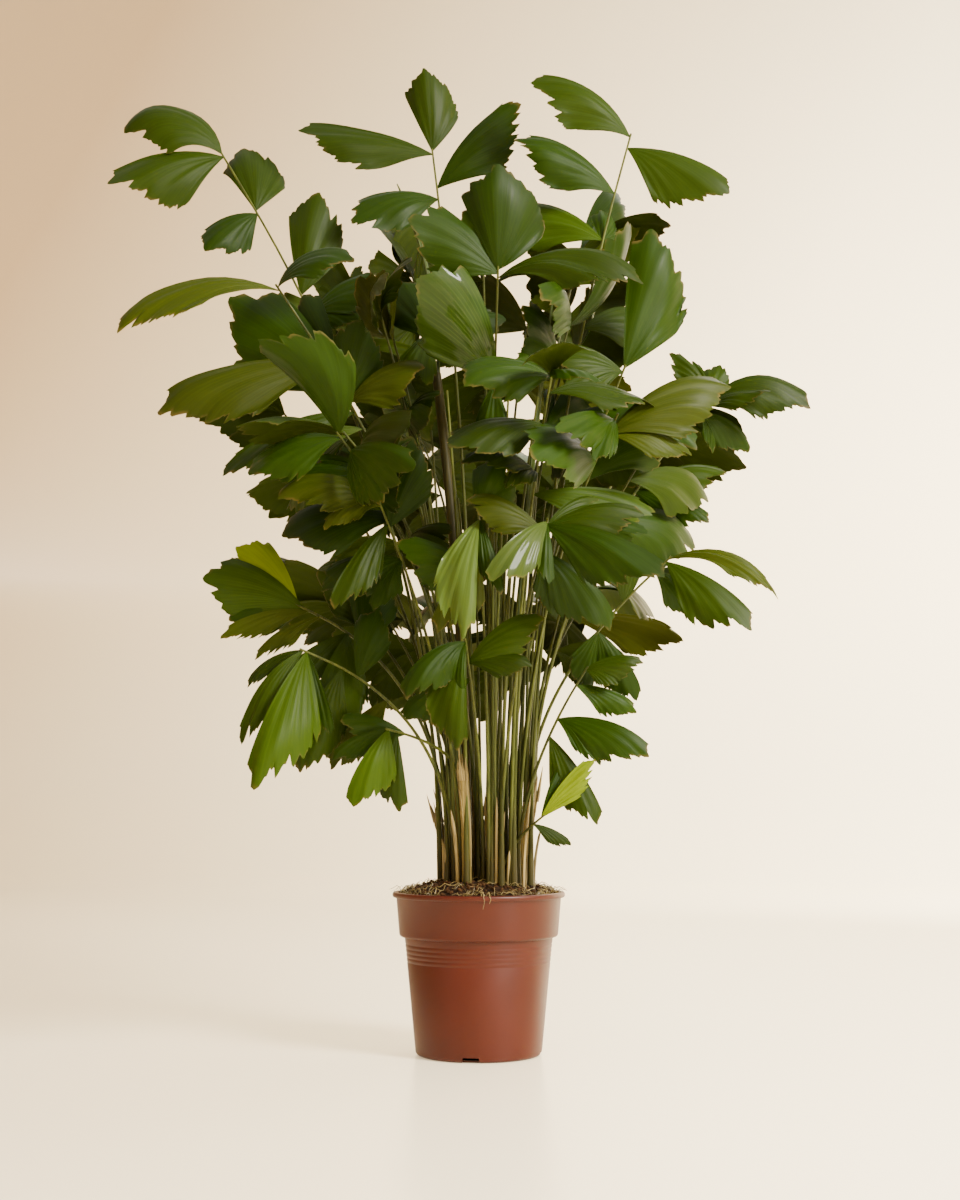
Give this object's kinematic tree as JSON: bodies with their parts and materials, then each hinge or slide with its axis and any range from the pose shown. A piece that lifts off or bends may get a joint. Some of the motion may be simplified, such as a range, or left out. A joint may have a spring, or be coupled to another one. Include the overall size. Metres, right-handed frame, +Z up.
{
  "type": "fishtail palm",
  "caption": "Potted fishtail palm: a clump of fibrous canes and tall slender fronds with ragged wedge-shaped leaflets, standing in a round terracotta-coloured nursery pot.",
  "frame": {"origin": "middle of the pot's flat underside, where the plant stands on the floor", "axes": "+Z up along the pot's axis, -Y towards the viewer of the picture, +X to that viewer's right"},
  "size_m": [1.1825, 1.0278, 1.6332],
  "materials": {
    "pot_plastic": "satin",
    "potting_soil": "matte",
    "cane_fibre": "matte",
    "culm_green": "satin",
    "frond_green": "satin"
  },
  "bodies": {
    "root": {"cane_1": "cane_fibre", "cane_10": "cane_fibre", "cane_2": "cane_fibre", "cane_3": "cane_fibre", "cane_4": "cane_fibre", "cane_5": "cane_fibre", "cane_6": "cane_fibre", "cane_7": "cane_fibre", "cane_8": "cane_fibre", "cane_9": "cane_fibre", "culm": "culm_green", "frond_back_high_1": "frond_green", "frond_back_high_2": "frond_green", "frond_back_high_3": "frond_green", "frond_back_high_4": "frond_green", "frond_back_high_5": "frond_green", "frond_back_low_1": "frond_green", "frond_back_low_2": "frond_green", "frond_back_low_3": "frond_green", "frond_back_low_4": "frond_green", "frond_back_low_5": "frond_green", "frond_back_mid_1": "frond_green", "frond_back_mid_2": "frond_green", "frond_back_mid_3": "frond_green", "frond_back_mid_4": "frond_green", "frond_back_mid_5": "frond_green", "frond_back_mid_6": "frond_green", "frond_centre_fan": "frond_green", "frond_centre_left": "frond_green", "frond_centre_low": "frond_green", "frond_centre_right": "frond_green", "frond_culm": "frond_green", "frond_flank_left_1": "frond_green", "frond_flank_left_2": "frond_green", "frond_flank_right_1": "frond_green", "frond_flank_right_2": "frond_green", "frond_foot_left": "frond_green", "frond_foot_right": "frond_green", "frond_high_left": "frond_green", "frond_left_hang": "frond_green", "frond_left_low": "frond_green", "frond_left_mid": "frond_green", "frond_right_arm": "frond_green", "frond_right_fan": "frond_green", "frond_right_low": "frond_green", "frond_right_mid": "frond_green", "frond_side_left_1": "frond_green", "frond_side_left_2": "frond_green", "frond_side_right_1": "frond_green", "frond_side_right_2": "frond_green", "frond_side_right_3": "frond_green", "frond_top": "frond_green", "frond_upper_left": "frond_green", "frond_upper_right": "frond_green", "pot": "pot_plastic", "soil": "potting_soil", "spear_left": "frond_green", "spear_right": "frond_green"}
  },
  "joints": []
}
